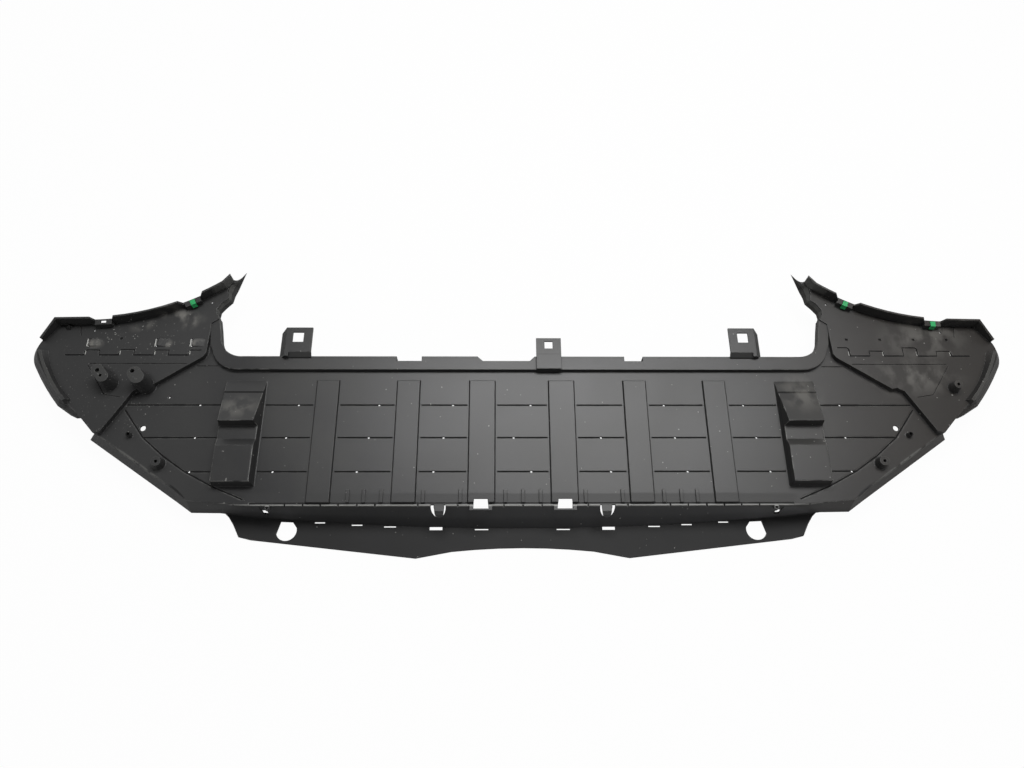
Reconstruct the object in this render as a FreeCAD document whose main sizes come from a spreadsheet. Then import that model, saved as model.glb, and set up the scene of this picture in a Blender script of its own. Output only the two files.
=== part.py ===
import FreeCAD, Part
import math
import os

# Front bumper undertray: one thin injection moulding that closes the underside of a car's nose,
# with three spring clips pushed on the upstand behind its wings.
# The frame is +X to the car's left, +Y to the engine side and +Z up, and the tray lies on its lip
# and skirts. Places along Y are given as distances behind the comb ledge, the floor's front edge.

V = FreeCAD.Vector
document = FreeCAD.newDocument("undertray")
sheet = document.addObject("Spreadsheet::Sheet", "sizes")

SIZES = [
    # section of the moulding
    ("wall", 3.0),
    ("floor_height", 50.0),
    ("wing_rise", 9.0),
    ("band_rise", 7.0),
    ("strip_rise", 3.5),
    ("strip_draft", 25.0),
    ("crease_width", 2.2),
    ("crease_depth", 1.0),
    ("pinhole_diameter", 3.4),
    # lip and front wall
    ("lip_root_in", 35.0),
    ("lip_corner_x", 432.0),
    ("lip_corner_reach", 37.0),
    ("lip_shoulder_x", 413.5),
    ("lip_shoulder_reach", 41.5),
    ("lip_nose_x", 162.0),
    ("lip_nose_reach", 70.0),
    ("lip_dip_x", 108.0),
    ("lip_dip_reach", 60.0),
    ("lip_middle_reach", 54.5),
    ("fold_end_x", 407.0),
    ("fold_end_reach", 6.5),
    ("fold_middle_reach", 26.0),
    ("lip_hole_x", 360.5),
    ("lip_hole_reach", 27.0),
    ("lip_hole_width", 32.0),
    # floor, ledge and skirts
    ("ledge_half", 440.0),
    ("ledge_back", 1.5),
    ("nose_corner_x", 500.0),
    ("nose_corner_back", 6.5),
    ("skirt_front_x", 521.0),
    ("skirt_front_back", 23.5),
    ("skirt_rear_x", 657.0),
    ("skirt_rear_back", 113.5),
    ("skirt_flare", 12.0),
    ("skirt_tail", 30.0),
    ("band_front_back", 218.5),
    ("band_rear_back", 241.5),
    ("cutout_half", 459.0),
    ("strip_front_back", 1.5),
    ("strip_rear_back", 202.5),
    # wings, rims and horns
    ("wing_edge_x", 676.0),
    ("wing_edge_back", 132.5),
    ("step_kink_share", 0.6525),
    ("step_kink_back", 186.0),
    ("step_end_out", 45.0),
    ("step_end_back", 246.5),
    ("rim_x", 785.0),
    ("rim_back", 248.5),
    ("rim_drop", 8.0),
    ("rim_slope", 13.6),
    ("rim_crest", 8.0),
    ("wing_rear_back", 300.5),
    ("horn_root_out", 66.0),
    ("horn_root_back", 344.5),
    ("horn_tip_out", 16.0),
    ("horn_tip_back", 391.0),
    ("flange_tip_back", 405.5),
    ("flange_reach", 10.0),
    ("upstand_height", 20.0),
    # humps
    ("hump_inner_x", 403.5),
    ("hump_width", 63.5),
    ("hump_front_back", 30.0),
    ("hump_block_back", 88.0),
    ("hump_flat_back", 100.0),
    ("hump_step_back", 123.0),
    ("hump_rear_back", 201.0),
    ("hump_height", 28.0),
    ("hump_flat_height", 12.0),
    ("hump_block_height", 18.0),
    ("hump_draft", 5.0),
    # stiffening strips, creases and floor holes
    ("strip_inner_x", 62.5),
    ("strip_inner_width", 43.0),
    ("strip_middle_x", 179.0),
    ("strip_middle_width", 38.5),
    ("strip_outer_x", 306.0),
    ("strip_outer_width", 38.0),
    ("crease_rear_back", 160.0),
    ("crease_middle_back", 106.0),
    ("crease_front_back", 51.5),
    ("floor_hole_x", 585.0),
    ("floor_hole_back", 121.5),
    ("floor_hole_diameter", 9.0),
    # bosses and pillars
    ("skirt_boss_x", 550.0),
    ("skirt_boss_back", 64.0),
    ("skirt_boss_diameter", 19.0),
    ("skirt_boss_height", 14.0),
    ("locating_boss_x", 602.5),
    ("locating_boss_back", 109.5),
    ("locating_boss_diameter", 9.0),
    ("locating_boss_height", 8.0),
    ("boss_bore", 5.0),
    ("boss_bore_depth", 9.0),
    ("boss_draft", 8.0),
    ("wing_boss_x", 686.0),
    ("wing_boss_back", 186.0),
    ("wing_boss_diameter", 18.0),
    ("wing_boss_height", 16.0),
    ("pillar_height", 30.0),
    ("pillar_roof", 6.0),
    ("pillar_flare", 3.5),
    ("pillar_turn", -50.0),
    # lines and louvres of the wings
    ("tab_line_back", 242.3),
    ("tab_width", 23.5),
    ("tab_slot_width", 1.5),
    ("tab_slot_depth", 1.4),
    ("wing_crease_back", 227.4),
    ("wing_crease_depth", 0.7),
    ("louvre_back", 258.0),
    ("louvre_depth", 13.0),
    ("louvre_length", 23.0),
    ("louvre_rise", 2.0),
    # rear edge tabs
    ("side_tab_inner_x", 336.0),
    ("side_tab_fold_x", 377.0),
    ("side_tab_outer_x", 391.0),
    ("side_tab_back", 289.0),
    ("side_tab_hole_x", 358.5),
    ("side_tab_hole_back", 272.0),
    ("side_tab_hole_width", 17.5),
    ("side_tab_rise", 8.0),
    ("side_tab_flange_drop", 22.0),
    ("middle_tab_x", 43.5),
    ("middle_tab_width", 40.0),
    ("middle_tab_back", 272.0),
    ("middle_tab_front_back", 218.0),
    ("middle_tab_rise", 5.0),
    ("middle_tab_hole_back", 260.0),
    ("middle_tab_hole_width", 13.0),
    # cut-outs of the front edge
    ("window_x", 63.2),
    ("window_width", 23.5),
    ("window_front", 5.0),
    ("window_rear", 8.8),
    ("window_bar", 2.5),
    ("window_frame_width", 34.0),
    ("window_frame_height", 4.0),
    ("notch_x", 127.0),
    ("notch_width", 22.5),
    ("notch_reach", 12.5),
    ("tongue_width", 13.0),
    ("tongue_reach", 9.0),
    ("end_hole_x", 389.5),
    ("end_hole_width", 9.0),
    ("end_ring_x", 380.5),
    ("end_ring_reach", 3.5),
    ("end_ring_diameter", 8.0),
    ("end_ring_bore", 3.5),
    ("nick_width", 2.4),
    ("nick_length", 4.0),
    ("ledge_width", 3.5),
    ("ledge_drop", 1.5),
    ("rib_width", 5.0),
    ("rib_length", 20.0),
    ("rib_height", 2.5),
    ("slot_length", 2.2),
    ("long_slot_length", 5.2),
    # upstand and clips
    ("clip_outer_in", 112.5),
    ("clip_inner_out", 13.0),
    ("clip_seat_width", 26.0),
    ("clip_seat_drop", 10.0),
    ("clip_block_depth", 9.5),
    ("clip_width", 8.0),
    ("clip_thickness", 1.2),
    ("clip_leg", 7.0),
    ("clip_flare", 1.5),
    ("clip_clearance", 0.1),
]


def fill_sheet():
    for row, (alias, value) in enumerate(SIZES, start=1):
        sheet.set("A%d" % row, alias)
        sheet.set("B%d" % row, str(value))
        sheet.setAlias("B%d" % row, alias)
    document.recompute()


def size(alias):
    return float(sheet.get(alias))


fill_sheet()

# The origin lies below the middle of the outline: the ledge stands this far from it along Y.
LEDGE_Y = (size("lip_nose_reach") - size("flange_tip_back")) / 2

# The wings' inner sides and horns keep their distance from the cut-out, the lip from the skirts.
STEP_END_X = size("cutout_half") + size("step_end_out")
STEP_FRONT_X = size("skirt_rear_x") - 12
STEP_KINK_X = STEP_END_X + size("step_kink_share") * (STEP_FRONT_X - STEP_END_X)
HORN_ROOT_X = size("cutout_half") + size("horn_root_out")
HORN_TIP_X = size("cutout_half") + size("horn_tip_out")
LIP_ROOT_X = size("nose_corner_x") - size("lip_root_in")

# The line across a wing and the outer edges of its four small tabs, spread over the wing's width.
TAB_LINE_END_X = size("rim_x") - 59
TAB_RUN = (TAB_LINE_END_X - STEP_END_X) / 222
TAB_X = [STEP_END_X + along * TAB_RUN for along in (192.0, 137.5, 82.5, 27.0)]
# Slits of the left wing's louvres, each beside a tab.
LOUVRE_X = (TAB_X[0] - 2.5, TAB_X[2] - 1.3, TAB_X[3] - 1.7)


def at(x, back):
    """A point of a plan outline, from its X and its distance behind the ledge."""
    return (x, LEDGE_Y + back)


def bend(x, back):
    """A point that an arc of a plan outline passes through, between its two neighbours."""
    return (x, LEDGE_Y + back, "bend")


def flipped(outline):
    return [(-point[0],) + tuple(point[1:]) for point in outline]


def both_halves(half):
    """A closed outline across the middle, from its right half given from front to rear."""
    return half + list(reversed(flipped(half)))


def on_side(outline, side):
    return outline if side > 0 else flipped(outline)


def box(x, back, width, depth):
    """A rectangle about the point (x, back), width along X and depth along Y."""
    w, d = width / 2, depth / 2
    return [at(x - w, back - d), at(x + w, back - d), at(x + w, back + d), at(x - w, back + d)]


def pieces(outline):
    """Each line or arc of a closed outline as its start, middle (None on a line) and end."""
    found = []
    ring = list(outline) + [outline[0]]
    step = 0
    while step < len(ring) - 1:
        arc = len(ring[step + 1]) == 3
        middle = V(ring[step + 1][0], ring[step + 1][1], 0) if arc else None
        end = ring[step + 2] if arc else ring[step + 1]
        found.append((V(ring[step][0], ring[step][1], 0), middle, V(end[0], end[1], 0)))
        step += 2 if arc else 1
    return found


def curves(outline):
    """The lines and arcs of a closed outline, for a sketch."""
    return [
        Part.Arc(start, middle, end) if middle else Part.LineSegment(start, end)
        for start, middle, end in pieces(outline)
    ]


def drawn_in(outline, amount):
    """The outline moved inwards all round, with the same number of lines and arcs."""
    parts = pieces(outline)
    corners = [start for start, middle, end in parts]
    turning = sum(p.x * q.y - q.x * p.y for p, q in zip(corners, corners[1:] + corners[:1]))
    hand = 1 if turning > 0 else -1
    moved = []
    for start, middle, end in parts:
        along = (end - start).normalize()
        side = V(-along.y, along.x, 0) * (hand * amount)
        if middle:
            circle = Part.Arc(start, middle, end).toShape().Curve
            centre = V(circle.Center)
            inside_is_centre = (centre - middle).dot(side) > 0
            radius = circle.Radius - amount if inside_is_centre else circle.Radius + amount
            top = centre + (middle - centre).normalize() * radius
            moved.append((Part.Circle(centre, V(0, 0, 1), radius), side, top))
        else:
            moved.append((Part.Line(start + side, end + side), side, None))
    result = []
    for number, corner in enumerate(corners):
        before, here = moved[number - 1], moved[number]
        guess = corner + (before[1] + here[1]) / 2
        crossings = [V(p.X, p.Y, 0) for p in before[0].intersectCC(here[0])]
        close = [p for p in crossings if p.distanceToPoint(guess) < 4 * abs(amount)]
        met = min(close, key=guess.distanceToPoint) if close else guess
        result.append((met.x, met.y))
        if here[2]:
            result.append((here[2].x, here[2].y, "bend"))
    return result


# Where a sketch lies for each plane, how it is turned, and the axis that its offset runs along.
PLANES = {
    "XY": (V(0, 0, 0), FreeCAD.Rotation(), "z"),
    "XZ": (V(0, 0, 0), FreeCAD.Rotation(V(1, 0, 0), 90), "y"),
    "YZ": (V(0, 0, 0), FreeCAD.Rotation(V(1, 1, 1), 120), "x"),
}


def sketch(name, outlines, offset="0", plane=PLANES["XY"], rounds=()):
    """Closed outlines and circles, given as (centre, radius), in one sketch on a plane."""
    made = document.addObject("Sketcher::SketchObject", name)
    base, turn, axis = plane
    made.Placement = FreeCAD.Placement(base, turn)
    made.setExpression(".Placement.Base." + axis, offset)
    for outline in outlines:
        made.addGeometry(curves(outline), False)
    for centre, radius in rounds:
        made.addGeometry(Part.Circle(V(centre[0], centre[1], 0), V(0, 0, 1), radius), False)
    return made


def prism(name, profile, length, taper="0", down=False):
    """A sketch drawn out along its normal, or against it."""
    made = document.addObject("Part::Extrusion", name)
    made.Base = profile
    made.DirMode = "Normal"
    made.Solid = True
    made.Reversed = down
    made.FaceMakerClass = "Part::FaceMakerBullseye"
    made.setExpression("LengthFwd", length)
    made.setExpression("TaperAngle", taper)
    return made


def loft(name, first, second):
    """A solid with ruled sides between two sketches."""
    made = document.addObject("Part::Loft", name)
    made.Sections = [first, second]
    made.Solid = True
    made.Ruled = True
    return made


class Moulding:
    """A panel as its outer forms fused together, less its hollows and cut-outs."""

    def __init__(self):
        self.forms = []
        self.voids = []

    def pad(self, *details, **more):
        self.forms.append(prism(*details, **more))
        return self.forms[-1]

    def pocket(self, *details):
        self.voids.append(prism(*details, down=True))
        return self.voids[-1]

    def finish(self, name):
        outer = document.addObject("Part::MultiFuse", name + "_forms")
        outer.Shapes = self.forms
        hollow = document.addObject("Part::MultiFuse", name + "_hollows")
        hollow.Shapes = self.voids
        made = document.addObject("Part::Cut", name)
        made.Base = outer
        made.Tool = hollow
        made.Label = name
        return made


def skirt_offset(along, outward):
    """A move along the slanting skirt and square to it, in plan."""
    run_x = size("skirt_rear_x") - size("skirt_front_x")
    run_back = size("skirt_rear_back") - size("skirt_front_back")
    length = math.hypot(run_x, run_back)
    u = (run_x / length, run_back / length)
    return (along * u[0] + outward * u[1], along * u[1] - outward * u[0])


def tray_outline(foot):
    """Plan of the tray block, at its floor or at its foot, closed inside the wings and the band."""
    flare = size("skirt_flare") if foot else 0.0
    tail = size("skirt_tail") if foot else 0.0
    front = skirt_offset(8.0 if foot else 0.0, flare)
    rear = skirt_offset(tail, flare)
    half = []
    if foot:
        half.append(at(size("fold_end_x"), -size("fold_end_reach")))
        half.append(at(LIP_ROOT_X, 0.5))
    else:
        half.append(at(size("fold_end_x"), 0.0))
        half.append(at(size("ledge_half"), size("ledge_back")))
    half.append(at(size("nose_corner_x") + 0.8 * flare, size("nose_corner_back") - 0.45 * flare))
    half.append(at(size("skirt_front_x") + front[0], size("skirt_front_back") + front[1]))
    half.append(at(size("skirt_rear_x") + rear[0], size("skirt_rear_back") + rear[1]))
    half.append(at(size("skirt_rear_x") - 17, size("skirt_rear_back") + 36.5))
    half.append(at(STEP_KINK_X + 18, size("step_kink_back") + 18))
    half.append(at(STEP_END_X + 26, size("step_end_back") + 18))
    half.append(at(STEP_END_X + 11, size("step_end_back") + 38.5))
    half.append(at(size("cutout_half") + 34, size("band_rear_back") + 43.5))
    half.append(at(size("cutout_half") + 22, size("band_rear_back") + 1.5))
    half.append(at(size("cutout_half") + 6, size("band_rear_back") - 10.5))
    outline = both_halves(half)
    if foot:
        outline.append(bend(0.0, -size("fold_middle_reach")))
    return outline


def rim_points(foot):
    """Outer side of a wing, from the front corner to the rear one, at the plate or at the rim's foot."""
    places = [
        ((-79.0, -91.0), (-0.60, -0.30)),
        ((-68.0, -92.0), (-0.60, 0.62)),
        ((-57.0, -87.0), (-0.80, 0.60)),
        ((-31.0, -55.7), (-0.80, 0.60)),
        ((-8.0, -22.0), (-0.92, 0.40)),
        ((0.0, 0.0), (-1.0, 0.0)),
        ((-5.0, 23.0), (-0.97, -0.25)),
    ]
    pull = 0.0 if foot else size("rim_slope")
    found = []
    for number, (place, inward) in enumerate(places):
        x = size("rim_x") + place[0] + pull * inward[0]
        back = size("rim_back") + place[1] + pull * inward[1]
        found.append(bend(x, back) if number in (3, 5) else at(x, back))
    return found


def wing_outline(foot, with_tip=True):
    """Plan of the right wing with its horn, at the plate or at the foot of its sloping edges.

    The horn's tip is solid, so the hollow below the plate is drawn without it.
    """
    reach = size("flange_reach") if foot else 0.0
    tip_x, tip_back = HORN_TIP_X, size("horn_tip_back")
    root_back, rear_back = size("horn_root_back"), size("wing_rear_back")
    mid_x, mid_back = (HORN_ROOT_X + size("rim_x") - 58) / 2, (root_back + rear_back) / 2
    rear_corner_x = size("rim_x") - 29 if foot else size("rim_x") - 40
    outline = [at(size("skirt_rear_x") - 1, size("skirt_rear_back") - 2)]
    outline.append(at(size("wing_edge_x"), size("wing_edge_back")))
    outline += rim_points(foot)
    outline.append(at(rear_corner_x, rear_back + (2 if foot else -1)))
    outline.append(at(size("rim_x") - 93, rear_back))
    outline.append(bend(mid_x - 2, mid_back - 14.5))
    outline.append(at(HORN_ROOT_X + 35, root_back - 17))
    outline.append(bend(HORN_ROOT_X - 1, root_back + 0.5))
    outline.append(at(tip_x + 14, tip_back - 24))
    if with_tip:
        outline.append(at(tip_x + 3, tip_back - 10))
        outline.append(at(tip_x - 11, size("flange_tip_back")) if foot else at(tip_x - 6, tip_back - 13))
        outline.append(at(tip_x + 8 - reach, tip_back - 19.5 - reach / 10))
    folds = [
        ((10.0, 32.5), (-0.8, 0.0)),
        ((7.0, 45.5), (-0.3, 0.05)),
        ((16.0, 52.5), (-0.3, -0.25)),
        ((23.0, 64.5), (-0.3, 0.0)),
        ((22.0, 73.5), (-0.1, 0.0)),
        ((17.0, 82.5), (0.0, 0.0)),
    ]
    for place, outward in folds:
        x = tip_x + place[0] + reach * outward[0]
        back = tip_back - place[1] + reach * outward[1]
        outline.append(at(x, back))
    outline.append(at(STEP_END_X - 1, size("step_end_back") + 53.5))
    outline.append(at(STEP_END_X - 1, size("step_end_back") + 32))
    outline.append(at(STEP_END_X, size("step_end_back")))
    outline.append(at(STEP_END_X + 4, size("step_end_back") - 7))
    outline.append(at(STEP_KINK_X - 8, size("step_kink_back") - 1.5))
    outline.append(at(STEP_KINK_X, size("step_kink_back") + 0.5))
    outline.append(at(STEP_KINK_X + 11, size("step_kink_back") - 5.5))
    outline.append(at(STEP_FRONT_X, size("skirt_rear_back")))
    return outline


def band_outline():
    """Plan of the raised band round the rear edge and up the sides of the cut-out."""
    half_x = size("cutout_half")
    rear, front = size("band_rear_back"), size("band_front_back")
    outer = [
        at(half_x + 33, rear + 69),
        at(half_x + 29, rear + 51),
        at(half_x + 24.5, rear + 27),
        bend(half_x + 12.5, rear + 8.5),
        at(half_x - 9, rear),
    ]
    inner = [
        at(half_x - 7, front),
        bend(half_x + 19, front + 8.5),
        at(half_x + 32, front + 24),
        at(half_x + 41, front + 45),
        at(half_x + 45, front + 71.5),
        at(half_x + 49, front + 97),
    ]
    return outer + list(reversed(flipped(outer))) + flipped(list(reversed(inner))) + inner


def lip_outline():
    """Plan of the flat lip, with its rear edge inside the front wall."""
    half = [
        at(size("lip_dip_x"), -size("lip_dip_reach")),
        at(size("lip_nose_x"), -size("lip_nose_reach")),
        at(size("lip_shoulder_x"), -size("lip_shoulder_reach")),
        at(size("lip_corner_x"), -size("lip_corner_reach")),
        at(size("lip_corner_x") + 10, -size("lip_corner_reach") / 2),
        at(LIP_ROOT_X - 15, -size("fold_end_reach") - 0.5),
        at(LIP_ROOT_X - 6, 1.2),
        at(LIP_ROOT_X - 6, 2.0),
        at(size("fold_end_x"), 2.0 - size("fold_end_reach")),
    ]
    middle = bend(0.0, 2.0 - size("fold_middle_reach"))
    return half + [middle] + list(reversed(flipped(half))) + [bend(0.0, -size("lip_middle_reach"))]


def crest_outline(top):
    """The roll along a wing's outer rim: a wide base on the plate, narrowing to its crest."""
    x, back = size("rim_x"), size("rim_back")
    if top:
        outer = [at(x - 76, back - 87.5), bend(x - 41, back - 43), at(x - 19, back - 1)]
        inner = [at(x - 24, back - 1), bend(x - 45.5, back - 41), at(x - 80, back - 85)]
    else:
        outer = [at(x - 77, back - 91), bend(x - 39, back - 45), at(x - 16, back + 3.5)]
        inner = [at(x - 32, back + 1.5), bend(x - 50, back - 41), at(x - 86, back - 83)]
    return outer + inner


def hump_profile(bottom):
    """Side view of a hump: a ramp up from the rear, a step down, a flat and the lower front block."""
    floor = size("floor_height")
    outline = [
        (size("hump_front_back") - 1.0, bottom),
        (size("hump_front_back") + 1.5, floor + size("hump_block_height")),
        (size("hump_block_back"), floor + size("hump_block_height")),
        (size("hump_flat_back"), floor + size("hump_flat_height")),
        (size("hump_step_back") - 1.5, floor + size("hump_flat_height")),
        (size("hump_step_back") + 1.0, floor + size("hump_height")),
        (size("hump_rear_back"), floor),
        (size("hump_rear_back"), bottom),
    ]
    return [(LEDGE_Y + back, height) for back, height in outline]


def add_humps(panel):
    """Each hump is its side view drawn across and its front view drawn back, where both agree."""
    floor, wall, draft = size("floor_height"), size("wall"), size("hump_draft")
    solid = hump_profile(floor - 1.0)
    hollow = drawn_in(hump_profile(floor - 2 * wall - 1.0), wall)
    top = floor + size("hump_height") + 1.0
    inner, width = size("hump_inner_x"), size("hump_width")
    front = [
        (inner, floor - 1.0),
        (inner + width, floor - 1.0),
        (inner + width - draft, top),
        (inner + draft, top),
    ]
    front_y = "%.4f + sizes.hump_front_back" % (LEDGE_Y - 5.0)
    for side in (-1, 1):
        hand = "right" if side > 0 else "left"
        start = "sizes.hump_inner_x" if side > 0 else "-sizes.hump_inner_x - sizes.hump_width"
        across = prism(
            "hump_across_" + hand,
            sketch("hump_profile_" + hand, [solid], start, PLANES["YZ"]),
            "sizes.hump_width",
        )
        along = prism(
            "hump_along_" + hand,
            sketch("hump_front_" + hand, [on_side(front, side)], front_y, PLANES["XZ"]),
            "sizes.hump_rear_back - sizes.hump_front_back + 10",
            down=True,
        )
        hump = document.addObject("Part::Common", "hump_" + hand)
        hump.Base = across
        hump.Tool = along
        panel.forms.append(hump)
        start += " + sizes.wall + sizes.hump_draft / 2"
        panel.voids.append(prism(
            "hump_hollow_" + hand,
            sketch("hump_hollow_profile_" + hand, [hollow], start, PLANES["YZ"]),
            "sizes.hump_width - 2 * sizes.wall - sizes.hump_draft",
        ))


def strip_places():
    """Centre and width of each stiffening strip, both sides."""
    places = []
    for name in ("inner", "middle", "outer"):
        for side in (-1, 1):
            places.append((side * size("strip_%s_x" % name), size("strip_%s_width" % name)))
    return sorted(places)


def crease_runs():
    """The stretches of floor between hump, strips and hump, as pairs of X."""
    gap = 2.0
    edges = [-size("hump_inner_x") + gap]
    for x, width in strip_places():
        edges += [x - width / 2 - gap, x + width / 2 + gap]
    edges.append(size("hump_inner_x") - gap)
    return list(zip(edges[0::2], edges[1::2]))


def strip_plan(margin):
    front, rear = size("strip_front_back") + margin, size("strip_rear_back") - margin
    middle = (front + rear) / 2
    return [box(x, middle, width - 2 * margin, rear - front) for x, width in strip_places()]


def add_strips_and_creases(panel):
    floor = "sizes.floor_height"
    plan = sketch("strip_plan", strip_plan(0), floor + " - 1")
    panel.pad("strips", plan, "sizes.strip_rise + 1", "-sizes.strip_draft")
    level = floor + " + sizes.strip_rise - sizes.wall"
    under = sketch("strip_hollow_plan", strip_plan(size("wall")), level)
    panel.pocket("strip_hollow", under, "sizes.strip_rise + 1")

    width = size("crease_width")
    outer_hump = size("hump_inner_x") + size("hump_width") + 2.0
    diagonal = [
        (618.5, size("crease_rear_back") - 9.0),
        (582.5, size("crease_middle_back") - 1.0),
        (546.0, 74.5),
        (511.0, size("crease_front_back") - 0.5),
        (466.0, 27.5),
        (418.0, 7.5),
    ]
    starts = (
        (size("crease_rear_back"), 616.0),
        (size("crease_middle_back"), 583.0),
        (size("crease_front_back"), 511.0),
    )
    outlines = []
    for back, end in starts:
        for left, right in crease_runs():
            outlines.append(box((left + right) / 2, back, right - left, width))
        for side in (-1, 1):
            outlines.append(box(side * (end + outer_hump) / 2, back, end - outer_hump, width))
    for side in (-1, 1):
        line = [at(x, back) for x, back in diagonal]
        line += [at(x - 0.6 * width, back + 0.8 * width) for x, back in reversed(diagonal)]
        outlines.append(on_side(line, side))
    creases = sketch("crease_plan", outlines[:-2], floor)
    panel.pocket("creases", creases, "sizes.crease_depth")
    panel.pocket("diagonal_creases", sketch("diagonal_plan", outlines[-2:], floor), "sizes.crease_depth")


def add_bosses(panel):
    floor = "sizes.floor_height"
    wing = floor + " + sizes.wing_rise"
    groups = (
        ("skirt_boss", (-1, 1), floor),
        ("locating_boss", (-1, 1), floor),
        ("wing_boss", (1,), wing),
    )
    for name, sides, level in groups:
        centres = [at(side * size(name + "_x"), size(name + "_back")) for side in sides]
        solid = [(centre, size(name + "_diameter") / 2) for centre in centres]
        bores = [(centre, size("boss_bore") / 2) for centre in centres]
        height = "sizes.%s_height" % name
        foot = sketch(name + "_plan", [], level + " - 1", rounds=solid)
        panel.pad(name + "es", foot, height + " + 1", "-sizes.boss_draft")
        mouth = sketch(name + "_bore_plan", [], level + " + " + height, rounds=bores)
        panel.pocket(name + "_bores", mouth, "min(sizes.boss_bore_depth; %s)" % height)


def slot_outline(x, back, length, width, angle):
    """A slot with round ends about a point, its length turned from +X by an angle in degrees."""
    along = (math.cos(math.radians(angle)), math.sin(math.radians(angle)))
    across = (-along[1], along[0])
    run, half = (length - width) / 2, width / 2

    def place(forward, aside):
        return (x + forward * along[0] + aside * across[0], back + forward * along[1] + aside * across[1])

    return [
        at(*place(-run, -half)),
        at(*place(run, -half)),
        bend(*place(run + half, 0)),
        at(*place(run, half)),
        at(*place(-run, half)),
        bend(*place(-run - half, 0)),
    ]


def add_pillars(panel):
    """Two pillars, hollow from below, stand on the left wing only, with screw holes in their tops."""
    floor, wall = "sizes.floor_height", size("wall")
    top = floor + " + sizes.wing_rise + sizes.pillar_height"
    pillars = (
        (size("skirt_rear_x") - 8.0, 198.0, 34.0, 18.0, ((-4.0, 4.2, 3.4), (2.1, -4.3, 2.4))),
        (STEP_KINK_X - 2.5, 194.5, 30.0, 21.0, ((-6.0, 6.5, 3.4),)),
    )
    for number, (x, back, length, width, holes) in enumerate(pillars, start=1):
        name = "pillar_%d" % number
        flare = 2 * size("pillar_flare")
        angle = size("pillar_turn")
        foot = slot_outline(-x, back, length + flare, width + flare, angle)
        head = slot_outline(-x, back, length, width, angle)
        core = slot_outline(-x, back, length - 2 * wall, width - 2 * wall, angle)
        base = sketch(name + "_foot", [foot], floor + " - 1")
        panel.forms.append(loft(name, base, sketch(name + "_top", [head], top)))
        under = sketch(name + "_core_plan", [core], top + " - sizes.pillar_roof")
        panel.pocket(name + "_core", under, "sizes.pillar_height - sizes.pillar_roof + sizes.wall + 1")
        rounds = [(at(right - x, back + behind), radius) for right, behind, radius in holes]
        bore = sketch(name + "_bore_plan", [], top + " + 1", rounds=rounds)
        panel.pocket(name + "_bore", bore, "sizes.pillar_roof + 2")


def add_tabs(panel):
    """Three mounting tabs with square holes behind the rear edge."""
    floor = "sizes.floor_height"
    band = size("floor_height") + size("band_rise")
    wall = size("wall")
    rear = size("band_rear_back")
    # each side tab rises from the band and runs flat to the rear
    top = band + size("side_tab_rise")
    foot, tip = rear - 4.0, size("side_tab_back")
    side_profile = [
        (foot, band - wall),
        (rear + 6.0, top - wall),
        (tip, top - wall),
        (tip, top),
        (rear + 4.0, top),
        (foot, band),
    ]
    side_profile = [(LEDGE_Y + back, height) for back, height in side_profile]
    drop = top - size("side_tab_flange_drop")
    fold, outer = size("side_tab_fold_x"), size("side_tab_outer_x")
    flange = [
        (fold - 1.0, top),
        (fold + 1.0, top),
        (outer, drop),
        (outer - wall, drop),
        (fold - wall, top - wall),
        (fold - wall - 2.0, top - wall),
        (fold - wall - 2.0, top),
    ]
    for side in (-1, 1):
        hand = "right" if side > 0 else "left"
        start = "sizes.side_tab_inner_x" if side > 0 else "-sizes.side_tab_fold_x"
        panel.pad(
            "side_tab_" + hand,
            sketch("side_tab_profile_" + hand, [side_profile], start, PLANES["YZ"]),
            "sizes.side_tab_fold_x - sizes.side_tab_inner_x",
        )
        panel.pad(
            "side_tab_flange_" + hand,
            sketch(
                "side_tab_flange_profile_" + hand,
                [on_side(flange, side)],
                "%.4f + sizes.side_tab_back" % LEDGE_Y,
                PLANES["XZ"],
            ),
            "sizes.side_tab_back - sizes.band_rear_back + 3",
        )
    # the middle tab is a low box on the band, carried on to the rear as a plate
    width = size("middle_tab_width")
    front, tip = size("middle_tab_front_back"), size("middle_tab_back")
    plate = box(size("middle_tab_x"), (front + tip) / 2, width, tip - front)
    level = floor + " + sizes.band_rise + sizes.middle_tab_rise"
    panel.pad("middle_tab", sketch("middle_tab_plan", [plate], level), "sizes.wall", down=True)
    skirt = box(size("middle_tab_x"), (front + rear) / 2 - 1, width, rear - front - 2)
    low = sketch("middle_tab_foot_plan", [skirt], floor + " - 1")
    panel.pad("middle_tab_foot", low, "sizes.band_rise + sizes.middle_tab_rise + 1 - sizes.wall / 2")


def ribbon(path, width):
    """Plan of a groove of one width that follows an open line of (x, back) points."""
    steps = [V(b[0] - a[0], b[1] - a[1], 0).normalize() for a, b in zip(path, path[1:])]
    before, after = [steps[0]] + steps, steps + [steps[-1]]
    left, right = [], []
    for (x, back), first, second in zip(path, before, after):
        across = V(-first.y - second.y, first.x + second.x, 0) * (width / 2 / (1 + first.dot(second)))
        left.append(at(x + across.x, back + across.y))
        right.append(at(x - across.x, back - across.y))
    return left + list(reversed(right))


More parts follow.
